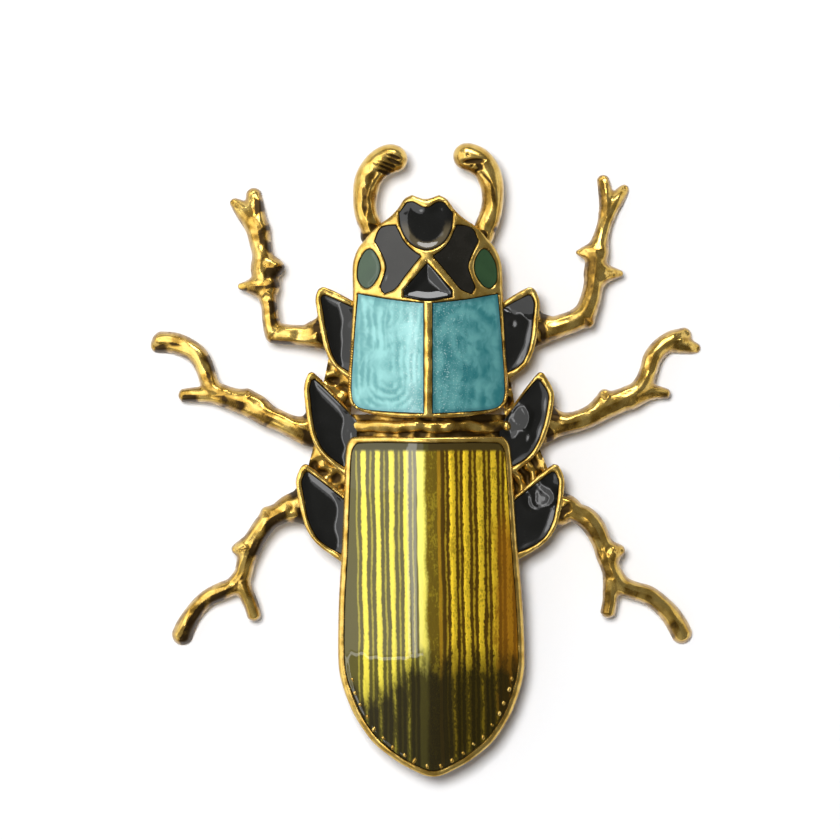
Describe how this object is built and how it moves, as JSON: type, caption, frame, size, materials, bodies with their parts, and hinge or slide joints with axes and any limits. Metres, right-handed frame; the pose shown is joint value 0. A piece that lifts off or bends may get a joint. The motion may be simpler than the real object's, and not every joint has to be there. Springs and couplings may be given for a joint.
{
  "type": "insect brooch",
  "caption": "Gold-coloured cast beetle brooch with spread legs, hooked antennae, ribbed wing cases and coloured enamel cells, with a pin on its back.",
  "frame": {"origin": "middle of the object's footprint, on the surface that its feet rest on", "axes": "+Y toward the head, +X to the right as seen from above, +Z out of the enamelled face"},
  "size_m": [0.0442, 0.0507, 0.0071],
  "materials": {
    "antique_gold": "polished antique gold plating with dark recesses",
    "black_enamel": "glossy black enamel",
    "smoke_enamel": "glossy smoky black enamel",
    "green_enamel": "glossy dark green enamel",
    "turquoise_enamel": "pearly turquoise enamel with swirls",
    "olive_enamel": "clear olive yellow enamel over ribbed gold",
    "pin_metal": "plain gold-plated steel"
  },
  "bodies": {
    "root": {"casting": "antique_gold", "enamel_snout": "black_enamel", "enamel_brow": "black_enamel", "enamel_cheek_left": "smoke_enamel", "enamel_cheek_right": "smoke_enamel", "enamel_eye_left": "green_enamel", "enamel_eye_right": "green_enamel", "enamel_shield_left": "turquoise_enamel", "enamel_shield_right": "turquoise_enamel", "enamel_wings": "olive_enamel", "enamel_leaf_front_left": "black_enamel", "enamel_leaf_front_right": "black_enamel", "enamel_leaf_middle_left": "black_enamel", "enamel_leaf_middle_right": "black_enamel", "enamel_leaf_hind_left": "black_enamel", "enamel_leaf_hind_right": "black_enamel", "brooch_pin": "pin_metal"}
  },
  "joints": []
}
